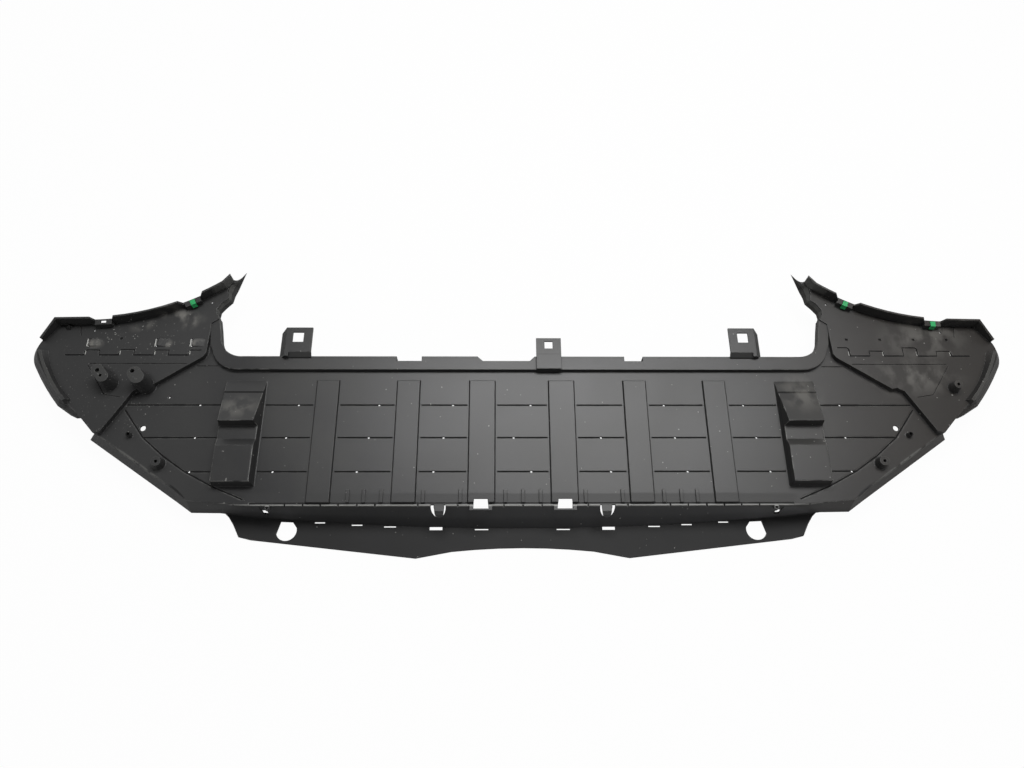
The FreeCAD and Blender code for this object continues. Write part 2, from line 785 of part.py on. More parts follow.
def add_wing_details(panel):
    """The folded-looking line with its tabs on each wing, creases, slits, small holes and louvres."""
    wing, floor = "sizes.floor_height + sizes.wing_rise", "sizes.floor_height"
    line = size("tab_line_back")
    rears = {-1: (251.0, 252.0, 251.0, 251.0), 1: (251.0, 257.0, 251.0, 257.0)}
    slots, creases, floor_creases = [], [], []
    for side in (-1, 1):
        path = [(TAB_LINE_END_X, line)]
        for outer, rear in zip(TAB_X, rears[side]):
            inner = outer - size("tab_width")
            path += [(outer, line), (outer, rear - 3), (outer - 3, rear), (inner, rear), (inner, line)]
        path = path[:-2] + [(STEP_END_X + 8, rears[side][-1])]
        slots.append(on_side(ribbon(path, size("tab_slot_width")), side))
        back = size("wing_crease_back")
        inner, outer = STEP_END_X + 27, size("wing_edge_x") + 8
        creases.append(box(side * (inner + outer) / 2, back, outer - inner, 1.0))
        floor_creases.append(box(side * (STEP_END_X - 2), back, 34.0, 1.0))
        corner = [(outer + 2, back - 3), (outer - 33, 174.5), (outer - 59, 170.0)]
        creases.append(on_side(ribbon(corner, 1.0), side))
        rear_corner = [
            (size("rim_x") - 73, size("wing_rear_back") - 5),
            (size("rim_x") - 77, size("wing_rear_back") - 24.5),
        ]
        creases.append(on_side(ribbon(rear_corner, 1.4), side))
    panel.pocket("tab_slots", sketch("tab_slot_plan", slots, wing), "sizes.tab_slot_depth")
    panel.pocket("wing_creases", sketch("wing_crease_plan", creases, wing), "sizes.wing_crease_depth")
    under = sketch("floor_crease_plan", floor_creases, floor)
    panel.pocket("floor_creases", under, "sizes.wing_crease_depth")
    # louvres of the left wing: each ramp rises outwards to a slit
    level = size("floor_height") + size("wing_rise") - 0.2
    length, rise = size("louvre_length"), size("louvre_rise")
    ramps = [[(-x + 1, level), (-x + 1, level + rise), (-x + length, level)] for x in LOUVRE_X]
    front = "%.4f + sizes.louvre_back" % LEDGE_Y
    profile = sketch("louvre_profile", ramps, front, PLANES["XZ"])
    panel.pad("louvres", profile, "sizes.louvre_depth", down=True)
    ring = at(-size("rim_x") + 55.5, size("wing_rear_back") - 9)
    foot = sketch("rear_ring_plan", [], wing + " - 1", rounds=[(ring, 4.5)])
    panel.pad("rear_ring", foot, "sizes.louvre_rise + 1")
    mouth = sketch("rear_ring_bore_plan", [], wing + " + sizes.louvre_rise + 1", rounds=[(ring, 2.5)])
    panel.pocket("rear_ring_bore", mouth, "sizes.louvre_rise + sizes.wall + 2")


def wing_holes():
    """Small openings through the wings: slits beside the louvres and tabs, and hooks' holes."""
    front, depth = size("louvre_back"), size("louvre_depth")
    holes = [box(-x, front + depth / 2, 2.2, depth + 2) for x in LOUVRE_X]
    back = front + depth + 0.5
    holes.append(box(-TAB_X[1] - 0.9, back, 4.5, 4.0))
    holes += [box(x - inset, back, 4.5, 4.0) for x, inset in zip(TAB_X, (2.1, 2.2, 2.0, 1.2))]
    line = size("tab_line_back")
    for x, rear in zip(TAB_X, (251.0, 257.0, 251.0, 257.0)):
        holes.append(box(x - 0.8, (line + rear) / 2 - 0.25, 1.6, rear - line - 5.5))
    return holes


def upstand_outline(side):
    """Plan of the wall along a wing's rear edge, from just round its outer corner."""
    plate = wing_outline(False)
    inner = drawn_in(plate, size("wall"))
    first = 1 + len(rim_points(False))
    chosen = plate[first:first + 8] + list(reversed(inner[first:first + 8]))
    return on_side(chosen, side)


def clip_places():
    """Side and X of each clip place on the two upstands; the left outer one has lost its clip."""
    inner = HORN_ROOT_X + size("clip_inner_out")
    outer = size("rim_x") - size("clip_outer_in")
    return {
        "left_outer": (-1, outer),
        "left_inner": (-1, inner),
        "right_inner": (1, inner),
        "right_outer": (1, outer),
    }


def upstand_frame(side, x):
    """Where the upstand's outer face stands at an X of the right side, and the way along it."""
    first = 2 + len(rim_points(False))
    for start, middle, end in pieces(wing_outline(False)[first:first + 7]):
        if min(start.x, end.x) <= x <= max(start.x, end.x):
            break
    along = (end - start).normalize()
    place = start + along * ((x - start.x) / along.x)
    if middle:
        curve = Part.Arc(start, middle, end)
        place = curve.value(curve.parameter(place))
        along = V(*curve.tangent(curve.parameter(place))[0])
    along = along if along.x > 0 else along * -1
    return V(side * place.x, place.y, 0), V(along.x, side * along.y, 0)


def beside(frame, right, outward):
    """A plan point given along the upstand and outwards from its outer face."""
    place, along = frame
    out = V(-along.y, along.x, 0)
    point = place + along * right + out * outward
    return (point.x, point.y)


def across(frame, width, near, far):
    """A plan rectangle centred on a clip place, between two distances from the outer face."""
    half = width / 2
    corners = ((-half, near), (half, near), (half, far), (-half, far))
    return [beside(frame, right, outward) for right, outward in corners]


def add_upstand(panel):
    """The wall behind each wing, with four low seats: each has a slot, and a recess below it."""
    wing = "sizes.floor_height + sizes.wing_rise"
    wall, seat, drop = size("wall"), size("clip_seat_width"), size("clip_seat_drop")
    plans = [upstand_outline(side) for side in (-1, 1)]
    panel.pad("upstand", sketch("upstand_plan", plans, wing + " - 1"), "sizes.upstand_height + 1")
    top = size("floor_height") + size("wing_rise") + size("upstand_height")
    depth, bar = size("clip_block_depth"), wall / 2
    seats, blocks, recesses, slots = [], [], [], []
    for side, x in clip_places().values():
        frame = upstand_frame(side, x)
        middle = frame[0].x
        seats.append([
            (middle - seat / 2, top - drop),
            (middle + seat / 2, top - drop),
            (middle + seat / 2 + 0.6 * drop, top + 1),
            (middle - seat / 2 - 0.6 * drop, top + 1),
        ])
        blocks.append(across(frame, seat, -depth, -bar))
        recesses.append(across(frame, seat - 2 * wall, wall - depth, 1.0))
        slots.append(across(frame, size("clip_width") + 1.0, wall - depth, -bar))
    level = wing + " + sizes.upstand_height - sizes.clip_seat_drop"
    height = "sizes.upstand_height - sizes.clip_seat_drop + 1"
    panel.pad("clip_blocks", sketch("clip_block_plan", blocks, wing + " - 1"), height)
    under = sketch("clip_recess_plan", recesses, level + " - sizes.wall")
    panel.pocket("clip_recesses", under, "sizes.rim_drop + sizes.wing_rise + sizes.upstand_height")
    panel.pocket("clip_slots", sketch("clip_slot_plan", slots, level + " + 1"), "sizes.wall + 2")
    behind = "%.4f + sizes.wing_rear_back - 20" % LEDGE_Y
    cut = sketch("clip_seat_profile", seats, behind, PLANES["XZ"])
    panel.voids.append(prism("clip_seats", cut, "80", down=True))
    # round the outer corner the wall slopes down to the rim
    rear, low = LEDGE_Y + size("wing_rear_back") - 1.0, top - size("upstand_height") + size("rim_crest")
    slope = [(rear, top), (rear + 5, top + 2), (rear - 40, top + 2), (rear - 40, low - 0.5)]
    for side in (-1, 1):
        start = "sizes.rim_x - 50" if side > 0 else "-sizes.rim_x"
        name = "upstand_slope_right" if side > 0 else "upstand_slope_left"
        panel.voids.append(prism(name, sketch(name + "_profile", [slope], start, PLANES["YZ"]), "50"))


def build_clip(name, side, x):
    """A spring clip: a strip over the upstand's edge, one leg in the slot and one flared inwards."""
    frame = upstand_frame(side, x)
    wall, gap, thick = size("wall"), size("clip_clearance"), size("clip_thickness")
    leg, flare = size("clip_leg"), size("clip_flare")
    rear = -wall / 2 - gap - thick
    front = -size("clip_block_depth") - gap
    slope = thick * math.hypot(leg, flare) / leg
    bend_height = thick * (math.hypot(leg, flare) - flare) / leg
    profile = [
        (rear, -leg),
        (rear, 0.0),
        (front, 0.0),
        (front - flare, -leg),
        (front - flare - slope, -leg),
        (front - bend_height, thick),
        (rear + thick, thick),
        (rear + thick, -leg),
    ]
    start = beside(frame, -size("clip_width") / 2, 0.0)
    along = frame[1]
    turn = FreeCAD.Rotation(V(-along.y, along.x, 0), V(0, 0, 1), along, "XYZ")
    plane = (V(start[0], start[1], 0), turn, "z")
    level = "sizes.floor_height + sizes.wing_rise + sizes.upstand_height - sizes.clip_seat_drop"
    made = prism(name, sketch(name + "_profile", [profile], level, plane), "sizes.clip_width")
    made.Label = name
    return made


def each_side(x_values):
    """The same distances from the middle on both sides."""
    return [side * x for x in x_values for side in (-1, 1)]


def add_front_edge(panel):
    """Small forms along the ledge: its drop, nicks, ribs, window frames, notches and their tongues."""
    floor = "sizes.floor_height"
    under = floor + " - sizes.wall"
    ledge = size("ledge_width")
    drop = [box(0, ledge / 2 - 4, 2 * size("fold_end_x"), ledge + 8)]
    drop_height = "sizes.strip_rise + sizes.ledge_drop"
    panel.pocket("ledge", sketch("ledge_plan", drop, floor + " + sizes.strip_rise"), drop_height)
    length, width = size("rib_length"), size("rib_width")
    rib_x = [0.0] + each_side((26.5, 94.0, 149.5, 212.0, 238.0, 262.0))
    ribs = [box(x, ledge + length / 2, width, length) for x in rib_x]
    panel.pad("ledge_ribs", sketch("rib_plan", ribs, floor + " - 1"), "sizes.rib_height + 1")
    nick_x = [0.0] + each_side((28.5, 97.6, 157.0, 220.7, 247.6, 275.5, 301.9, 328.0, 355.0))
    nicks = [box(x, 0.0, size("nick_width"), size("nick_length")) for x in nick_x]
    panel.pocket("nicks", sketch("nick_plan", nicks, floor + " + 1"), "sizes.wall + 3")

    reach = size("window_front") + size("window_bar")
    frames = [
        box(x, 1.0 - reach / 2, size("window_frame_width"), reach + 2.0)
        for x in each_side([size("window_x")])
    ]
    height = "sizes.window_frame_height"
    panel.pad("window_frames", sketch("window_frame_plan", frames, floor), height, down=True)
    ring_x = each_side([size("end_ring_x")])
    solid = [(at(x, -size("end_ring_reach")), size("end_ring_diameter") / 2) for x in ring_x]
    bores = [(centre, size("end_ring_bore") / 2) for centre, radius in solid]
    rings = sketch("end_ring_plan", [], floor, rounds=solid)
    panel.pad("end_rings", rings, "2 * " + height, down=True)
    mouths = sketch("end_ring_bore_plan", [], floor + " + 1", rounds=bores)
    panel.pocket("end_ring_bores", mouths, "2 * sizes.window_frame_height + 1")

    notches, tongues = [], []
    half, reach = size("notch_width") / 2, size("notch_reach")
    tongue, tip = size("tongue_width") / 2, size("tongue_reach")
    for x in each_side([size("notch_x")]):
        notches.append([at(x - half, 1.0), at(x + half, 1.0), bend(x, -reach)])
        shoulder = 2.0 - tip / 2
        tongues.append([
            at(x - tongue, 4.0),
            at(x + tongue, 4.0),
            at(x + tongue, shoulder),
            bend(x, -tip),
            at(x - tongue, shoulder),
        ])
    hole = size("end_hole_width")
    notches += [box(x, -1.0 - hole / 2, hole, hole) for x in each_side([size("end_hole_x")])]
    columns = sketch("notch_plan", notches, floor)
    open_notches = document.addObject("Part::Cut", "notches")
    open_notches.Base = prism("notch_columns", columns, "sizes.floor_height - 15", down=True)
    plan = sketch("tongue_plan", tongues, under)
    open_notches.Tool = panel.pad("tongues", plan, "sizes.wall - sizes.ledge_drop")
    panel.voids.append(open_notches)


def octagon(x, back, radius):
    """A small eight-sided hole about a point."""
    turns = [math.pi * (number + 0.5) / 4 for number in range(8)]
    return [at(x + radius * math.cos(turn), back + radius * math.sin(turn)) for turn in turns]


def pinholes():
    """Small holes along the creases, in rows."""
    rows = (
        (size("crease_rear_back"), (503.5, 350.0, 224.0)),
        (size("crease_middle_back"), (503.5, 364.0, 237.0)),
        (size("crease_front_back"), (503.5, 378.5, 251.5)),
    )
    singles = (
        (-108.5, size("crease_rear_back")),
        (13.5, size("crease_rear_back")),
        (-121.8, size("crease_middle_back")),
        (-13.5, size("crease_middle_back")),
        (121.8, size("crease_middle_back")),
        (-135.5, size("crease_front_back")),
        (13.0, size("crease_front_back")),
        (134.5, size("crease_front_back")),
        (-553.0, 173.0),
        (-TAB_X[0] + 7.5, size("wing_rear_back") - 14.5),
        (-HORN_ROOT_X + 17.5, size("horn_root_back") - 6.5),
        (TAB_X[0] - 8.5, size("wing_rear_back") - 15.5),
        (HORN_ROOT_X - 18.0, size("horn_root_back") - 7.5),
    )
    places = [(x, back) for back, row in rows for x in each_side(row)]
    return [octagon(x, back, size("pinhole_diameter") / 2) for x, back in places + list(singles)]


def cut_through(panel):
    """Everything that goes straight through the moulding, seen from above."""
    outlines = []
    for side in (-1, 1):
        x, wide = side * size("window_x"), size("window_width") / 2
        front, rear = -size("window_front"), size("window_rear")
        narrow = 0.85 * wide
        corners = ((-wide, front), (wide, front), (narrow, rear), (-narrow, rear))
        outlines.append([at(x + right, back) for right, back in corners])
        half = size("side_tab_hole_width")
        outlines.append(box(side * size("side_tab_hole_x"), size("side_tab_hole_back"), half, half))
    hole = size("middle_tab_hole_width")
    outlines.append(box(size("middle_tab_x"), size("middle_tab_hole_back"), hole, hole))
    rear = size("band_rear_back")
    outlines.append(box(-180.0, rear, 40.0, 16.0))
    outlines.append(box(180.0, rear, 30.0, 16.0))
    outlines.append([at(-73, rear + 2), at(-62, rear - 8), at(13, rear - 8), at(23, rear + 2)])
    # slots along the fold and the large holes of the lip
    fold = size("fold_middle_reach")
    rise = (fold - size("fold_end_reach")) / size("fold_end_x") ** 2
    slots = (
        (62.7, 20.5, "slot_length"),
        (132.5, 19.6, "long_slot_length"),
        (203.0, 18.5, "slot_length"),
        (253.5, 16.7, "slot_length"),
        (310.5, 16.0, "slot_length"),
    )
    for x, width, length in slots:
        back = rise * x * x - fold - 0.5
        for side in (-1, 1):
            outlines.append(box(side * x, back, width, size(length)))
    radius = size("lip_hole_width") / 2
    for side in (-1, 1):
        x, back = size("lip_hole_x"), -size("lip_hole_reach")
        hole = [
            at(x + 0.94 * radius, back - 0.34 * radius),
            bend(x, back - radius),
            at(x - 0.97 * radius, back + 0.24 * radius),
            at(x - 0.55 * radius, back + 0.8 * radius),
            at(x + 0.6 * radius, back + 0.85 * radius),
        ]
        outlines.append(on_side(hole, side))
    outlines += pinholes() + wing_holes()
    holes = [at(x, size("floor_hole_back")) for x in each_side([size("floor_hole_x")])]
    rounds = [(place, size("floor_hole_diameter") / 2) for place in holes]
    top = "sizes.floor_height + sizes.wing_rise + sizes.upstand_height"
    panel.pocket("through_cuts", sketch("through_plan", outlines, top, rounds=rounds), top + " + 1")


def build_panel():
    panel = Moulding()
    sides = (-1, 1)
    floor, wing = "sizes.floor_height", "sizes.floor_height + sizes.wing_rise"
    rim_foot = "sizes.floor_height - sizes.rim_drop"
    wall = size("wall")

    # outer forms: lip, tray block with its sloping front wall and skirts, wings, band
    panel.pad("lip", sketch("lip_plan", [lip_outline()]), "sizes.wall")
    tray_foot = sketch("tray_foot", [tray_outline(True)])
    panel.forms.append(loft("tray_block", tray_foot, sketch("tray_top", [tray_outline(False)], floor)))
    panel.pad("band", sketch("band_plan", [band_outline()]), floor + " + sizes.band_rise")
    # the same forms drawn in by the wall make the moulding hollow from below
    hollow_foot = sketch("tray_hollow_foot", [drawn_in(tray_outline(True), wall)])
    hollow_top = sketch("tray_hollow_top", [drawn_in(tray_outline(False), wall)], floor + " - sizes.wall")
    panel.voids.append(loft("tray_hollow", hollow_foot, hollow_top))
    under_band = floor + " + sizes.band_rise - sizes.wall"
    hollow = sketch("band_hollow_plan", [drawn_in(band_outline(), wall)], under_band)
    panel.pocket("band_hollow", hollow, under_band)
    for side in sides:
        add_wing(panel, side, wing, rim_foot)

    # below the rim's foot the moulding is open behind
    open_x = size("rim_x") - 43
    half = [
        at(size("cutout_half") + 21, size("band_front_back") + 6),
        at(STEP_END_X + 40, size("band_front_back") + 6),
        at(STEP_END_X + 40, size("wing_rear_back") - 10.5),
        at(open_x, size("wing_rear_back") - 10.5),
        at(open_x, size("flange_tip_back") + 20),
    ]
    panel.pocket("rear_opening", sketch("rear_opening_plan", [both_halves(half)], rim_foot), rim_foot)
    add_humps(panel)
    add_strips_and_creases(panel)
    add_bosses(panel)
    add_pillars(panel)
    add_tabs(panel)
    add_wing_details(panel)
    add_upstand(panel)
    add_front_edge(panel)
    cut_through(panel)
    return panel.finish("undertray_panel")


def add_wing(panel, side, wing, rim_foot):
    """One wing: a straight base, a block with sloping edges, their hollows, and the rim's crest."""
    hand = "right" if side > 0 else "left"
    wall = size("wall")
    foot, top = wing_outline(True), wing_outline(False)
    inner_foot = drawn_in(wing_outline(True, with_tip=False), wall)
    inner_top = drawn_in(wing_outline(False, with_tip=False), wall)
    foot, top = [on_side(foot, side)], [on_side(top, side)]
    inner_foot, inner_top = [on_side(inner_foot, side)], [on_side(inner_top, side)]
    under = wing + " - sizes.wall"
    panel.pad("wing_base_" + hand, sketch("wing_base_plan_" + hand, foot), rim_foot)
    lower = sketch("wing_foot_" + hand, foot, rim_foot)
    panel.forms.append(loft("wing_block_" + hand, lower, sketch("wing_top_" + hand, top, wing)))
    void = sketch("wing_base_hollow_plan_" + hand, inner_foot, rim_foot)
    panel.pocket("wing_base_hollow_" + hand, void, rim_foot)
    lower = sketch("wing_hollow_foot_" + hand, inner_foot, rim_foot)
    upper = sketch("wing_hollow_top_" + hand, inner_top, under)
    panel.voids.append(loft("wing_hollow_" + hand, lower, upper))
    base = sketch("crest_base_" + hand, [on_side(crest_outline(False), side)], wing + " - 1")
    crest = sketch("crest_top_" + hand, [on_side(crest_outline(True), side)], wing + " + sizes.rim_crest")
    panel.forms.append(loft("rim_crest_" + hand, base, crest))


def check_document():
    for thing in document.Objects:
        bad = [state for state in thing.State if state in ("Invalid", "Error")]
        if bad:
            raise RuntimeError("%s is %s" % (thing.Name, bad))


def write_part(body):
    shape = body.Shape
    if shape.isNull() or not shape.isValid():
        raise RuntimeError("%s has no sound shape" % body.Label)
    solids = len(shape.Solids)
    print("%s: %d solid, %.0f mm3, %d faces" % (body.Label, solids, shape.Volume, len(shape.Faces)))
    print("   box", shape.BoundBox)
    shape.exportStep("parts/%s.step" % body.Label)


def main():
    os.makedirs("parts", exist_ok=True)
    bodies = [build_panel()]
    for name, (side, x) in clip_places().items():
        if name != "left_outer":
            bodies.append(build_clip("edge_clip_" + name, side, x))
    document.recompute()
    check_document()
    for body in bodies:
        write_part(body)


main()
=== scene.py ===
import math

import bmesh
import bpy
from mathutils import Matrix, Vector


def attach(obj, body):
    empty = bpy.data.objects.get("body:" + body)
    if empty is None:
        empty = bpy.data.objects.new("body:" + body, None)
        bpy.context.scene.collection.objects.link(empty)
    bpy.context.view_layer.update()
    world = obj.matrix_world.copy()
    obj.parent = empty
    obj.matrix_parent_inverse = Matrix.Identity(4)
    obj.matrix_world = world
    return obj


# A front bumper undertray: one black injection moulding lying flat, dusty from use, with three
# green spring clips on its rear upstands. The frame is in metres: +X along its width, +Y to the
# engine side, +Z up, resting on z = 0.
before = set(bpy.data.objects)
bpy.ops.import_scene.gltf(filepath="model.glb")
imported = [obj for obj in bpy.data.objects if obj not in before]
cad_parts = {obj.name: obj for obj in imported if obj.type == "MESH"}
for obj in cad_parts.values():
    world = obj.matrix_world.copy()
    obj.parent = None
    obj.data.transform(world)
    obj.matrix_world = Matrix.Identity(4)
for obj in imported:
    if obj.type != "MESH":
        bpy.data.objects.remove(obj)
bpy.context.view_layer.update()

# Camera: a 27 mm lens above and in front of the tray, looking down by 66.5 degrees, as the photo
# was taken. Its place, its small turns and its focal length follow from mirror points of the tray.
LENS_PLACE = (-0.03536, -0.46587, 1.18783)
LOOKS_DOWN, YAW, ROLL = math.radians(66.51), math.radians(0.915), math.radians(0.051)
lens = bpy.data.cameras.new("camera")
lens.lens = 27.42
lens.sensor_width = 36.0
lens.clip_start = 0.01
camera = bpy.data.objects.new("camera", lens)
camera.matrix_world = (
    Matrix.Translation(LENS_PLACE)
    @ Matrix.Rotation(math.radians(90) - LOOKS_DOWN, 4, "X")
    @ Matrix.Rotation(-YAW, 4, "Y")
    @ Matrix.Rotation(ROLL, 4, "Z")
)
bpy.context.scene.collection.objects.link(camera)
bpy.context.scene.camera = camera
bpy.context.scene.view_settings.view_transform = "Standard"

# Floor: a plain pale sheet of paper. The lens, glossy surfaces and holes see it as white, with a
# part of its own shading kept, so that the tray's soft shadow stays on it.
FLOOR_SIZE = 40.0
WHITE_SHARE = 0.97


def linear(text):
    """A hex sRGB colour as linear RGBA."""
    values = [int(text[i:i + 2], 16) / 255 for i in (1, 3, 5)]
    return [v / 12.92 if v <= 0.04045 else ((v + 0.055) / 1.055) ** 2.4 for v in values] + [1.0]


class Finish:
    """The look of one material. A mask is a value over the piece: 1 where a look holds, else 0."""

    def __init__(self, name, colour):
        self.material = bpy.data.materials.new(name)
        self.material.use_nodes = True
        self.tree = self.material.node_tree
        self.shader = self.tree.nodes["Principled BSDF"]
        self.place = self.add("ShaderNodeTexCoord").outputs["Object"]
        self.colour = linear(colour)

    def add(self, kind, inputs=(), **settings):
        """One node, its settings, and its inputs as (socket, value or output) pairs."""
        node = self.tree.nodes.new(kind)
        for key, value in settings.items():
            setattr(node, key, value)
        for socket, value in inputs:
            if isinstance(value, bpy.types.NodeSocket):
                self.tree.links.new(value, node.inputs[socket])
            else:
                node.inputs[socket].default_value = value
        return node

    def joined(self, operation, first, *others):
        """Masks or values taken together one after another, as by ADD, MULTIPLY or MAXIMUM."""
        for other in others:
            pair = ((0, first), (1, other))
            first = self.add("ShaderNodeMath", pair, operation=operation).outputs[0]
        return first

    def overlap(self, *masks):
        """A mask only where all of these hold; a plain number among them is its strength."""
        return self.joined("MULTIPLY", *masks)

    def either(self, *masks):
        return self.joined("MAXIMUM", *masks)

    def outside(self, mask):
        return self.joined("SUBTRACT", 1.0, mask)

    def away(self, value, centre):
        """How far a coordinate is from a place, on either side of it."""
        return self.joined("ABSOLUTE", self.joined("SUBTRACT", value, centre), 0.0)

    def rise(self, value, low, high):
        """A mask that rises softly from 0 at low to 1 at high, which may lie below low."""
        values = (("Value", value), ("From Min", low), ("From Max", high))
        return self.add("ShaderNodeMapRange", values, interpolation_type="SMOOTHSTEP").outputs[0]

    def band(self, value, low, high, soft):
        """A mask that is 1 between low and high, falling to 0 within soft outside them."""
        return self.overlap(self.rise(value, low - soft, low), self.rise(value, high + soft, high))

    def spot(self, centre, reach, turn=0.0):
        """A mask that is 1 at a place on the plan and 0 beyond an ellipse of half-sizes reach."""
        values = ((0, self.place), (1, centre))
        shifted = self.add("ShaderNodeVectorMath", values, operation="SUBTRACT").outputs[0]
        values = (("Vector", shifted), ("Angle", -turn))
        turned = self.add("ShaderNodeVectorRotate", values).outputs[0]
        values = ((0, turned), (1, (1 / reach[0], 1 / reach[1], 0.0)))
        scaled = self.add("ShaderNodeVectorMath", values, operation="MULTIPLY").outputs[0]
        far = self.add("ShaderNodeVectorMath", ((0, scaled),), operation="LENGTH").outputs["Value"]
        return self.rise(far, 1.0, 0.0)

    def mottle(self, size, detail, stretch=(1, 1, 1)):
        """Cloudy patches about size metres across, as a value about 0.5."""
        place = self.add("ShaderNodeMapping", ((0, self.place), (3, stretch))).outputs[0]
        values = (("Vector", place), ("Scale", 1 / size), ("Detail", detail))
        return self.add("ShaderNodeTexNoise", values).outputs[0]

    def paint(self, mask, colour):
        """Lay a colour over what is there, where the mask holds."""
        values = ((0, mask), (6, self.colour), (7, linear(colour)))
        self.colour = self.add("ShaderNodeMix", values, data_type="RGBA").outputs[2]

    def wire(self, socket, value):
        self.tree.links.new(value, self.shader.inputs[socket])


bpy.ops.mesh.primitive_plane_add(size=FLOOR_SIZE, location=(0, 0, 0))
floor = bpy.context.active_object
floor.name = "floor"
look = Finish("floor_white", "#e0e0e0")
seen = look.add("ShaderNodeLightPath").outputs
rays = look.either(seen["Is Camera Ray"], seen["Is Glossy Ray"], seen["Is Transmission Ray"])
white = look.add("ShaderNodeEmission", (("Color", (1, 1, 1, 1)), ("Strength", 1.0)))
pale = look.add("ShaderNodeBsdfDiffuse", (("Color", look.colour),))
shares = ((0, look.overlap(rays, WHITE_SHARE)), (1, pale.outputs[0]), (2, white.outputs[0]))
lit = look.add("ShaderNodeMixShader", shares)
look.tree.links.new(lit.outputs[0], look.tree.nodes["Material Output"].inputs["Surface"])
floor.data.materials.append(look.material)

# Backdrop: the same pale sheet stands in a wide ring, far off and open above, so that a view from
# low down ends in white too.
RING_RADIUS, RING_HEIGHT = 19.0, 14.0
ring = bmesh.new()
bmesh.ops.create_cone(
    ring, cap_ends=False, segments=96, radius1=RING_RADIUS, radius2=RING_RADIUS, depth=RING_HEIGHT
)
bmesh.ops.translate(ring, vec=(0, 0, RING_HEIGHT / 2), verts=ring.verts)
sheet = bpy.data.meshes.new("backdrop")
ring.to_mesh(sheet)
ring.free()
sheet.materials.append(look.material)
backdrop = bpy.data.objects.new("backdrop", sheet)
bpy.context.scene.collection.objects.link(backdrop)

# Light: one wide softbox high behind the tray and to its right, whose reflection brightens the
# middle of the tray's floor, a weak one in front, and a dim white surround.
SURROUND_STRENGTH = 0.25
world = bpy.data.worlds.new("surround")
world.use_nodes = True
bpy.context.scene.world = world
air = world.node_tree.nodes["Background"].inputs
air["Color"].default_value = (1, 1, 1, 1)
air["Strength"].default_value = SURROUND_STRENGTH


def softbox(name, place, aim, width, depth, watts):
    light = bpy.data.lights.new(name, "AREA")
    light.shape = "RECTANGLE"
    light.size, light.size_y, light.energy = width, depth, watts
    box = bpy.data.objects.new(name, light)
    box.location = place
    box.rotation_euler = (Vector(aim) - Vector(place)).to_track_quat("-Z", "Y").to_euler()
    bpy.context.scene.collection.objects.link(box)


softbox("softbox_back", (0.26, 0.72, 1.9), (0.1, 0.0, 0.0), width=1.6, depth=0.7, watts=38.0)
softbox("softbox_front", (0.2, -1.6, 1.6), (0, 0, 0), width=2.0, depth=1.0, watts=3.0)

# Panel: black polypropylene, injection moulded with a fine satin grain. Its corners are slightly
# round and rubbed pale with a painted highlight, painted shade darkens its grooves, inner corners
# and high steep faces, and road dust lies on it in a thin cloudy film.
# The comb ledge is the top of the front wall, and the band is the raised strip along the rear edge.
LEDGE_Y, LEDGE_END, DIP_END = -0.16775, 0.456, 0.405
FLOOR_Z, WING_Z, PILLAR_Z = 0.050, 0.059, 0.089
FLOOR_GROOVE_Z, WING_GROOVE_Z = (0.0489, 0.0494), (0.0575, 0.0586)
HUMP_SIDES = (0.400, 0.470)
BAND_FOOT_Y, BAND_GAP_Y = 0.070, (0.0700, 0.0712)
RIBS, RIB_HALF = (0.0, 0.0265, 0.094, 0.1495, 0.212, 0.238, 0.262), 0.0024
RIB_ENDS = (LEDGE_Y + 0.0045, LEDGE_Y + 0.0215)
CORNER_RADIUS, WIDER_RADIUS, SHADE_REACH = 0.001, 0.002, 0.009
CLOUD_SIZE, RUB_AND_HIGHLIGHT_SIZE, SMUDGE_SIZE = 0.143, 0.01667, 0.02174
GRIT_SIZE, SPECK_SIZE, GRAIN_SIZE = 0.00303, 0.004167, 0.001111
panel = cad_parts["undertray_panel"]
look = Finish("moulded_black_polypropylene", "#1e1e1f")
x, y, z = look.add("ShaderNodeSeparateXYZ", ((0, look.place),)).outputs
side = look.away(x, 0.0)
flat = look.add("ShaderNodeNewGeometry").outputs["Normal"]
level = look.add("ShaderNodeSeparateXYZ", ((0, flat),)).outputs[2]
steep = look.rise(level, 0.9, 0.4)

# dust lies in clouds a hand wide, browner to the right and thicker on the left wing; the lip and
# the front wall's foot are darkened with painted shade, and the dip behind the ledge is duller
cloud = look.mottle(CLOUD_SIZE, 5.0)
look.paint(look.rise(cloud, 0.35, 0.72), "#2a2a29")
look.paint(look.overlap(look.rise(x, 0.30, 0.66), 0.75), "#2b2723")
before_ledge = look.rise(y, LEDGE_Y + 0.004, LEDGE_Y - 0.004)
lip = look.overlap(look.rise(z, 0.030, 0.006), before_ledge)
# painted shade on the lip and the front wall's foot
look.paint(look.overlap(lip, 0.9), "#0d0d0e")
look.paint(look.overlap(look.rise(x, -0.42, -0.56), 0.7), "#343434")
dip = look.band(y, LEDGE_Y + 0.002, LEDGE_Y + 0.016, 0.003)
dip = look.overlap(dip, look.rise(side, DIP_END + 0.015, DIP_END))

# painted shade darkens steep faces where they stand high; painted light makes them pale on the
# band's flange, and a painted sheen makes the front wall paler towards the right
inside = look.either(
    look.rise(y, BAND_FOOT_Y + 0.005, BAND_FOOT_Y), look.rise(side, 0.500, 0.507)
)
raised = look.overlap(steep, look.rise(z, FLOOR_Z - 0.0016, FLOOR_Z - 0.0010), 0.75)
look.paint(look.overlap(raised, inside), "#090909")
look.paint(look.overlap(raised, look.outside(inside), look.rise(side, 0.40, 0.43)), "#4a4a48")
front_wall_sheen = look.overlap(look.rise(y, LEDGE_Y, LEDGE_Y - 0.002), look.rise(x, -0.60, 0.40))
look.paint(look.overlap(steep, front_wall_sheen), "#404041")
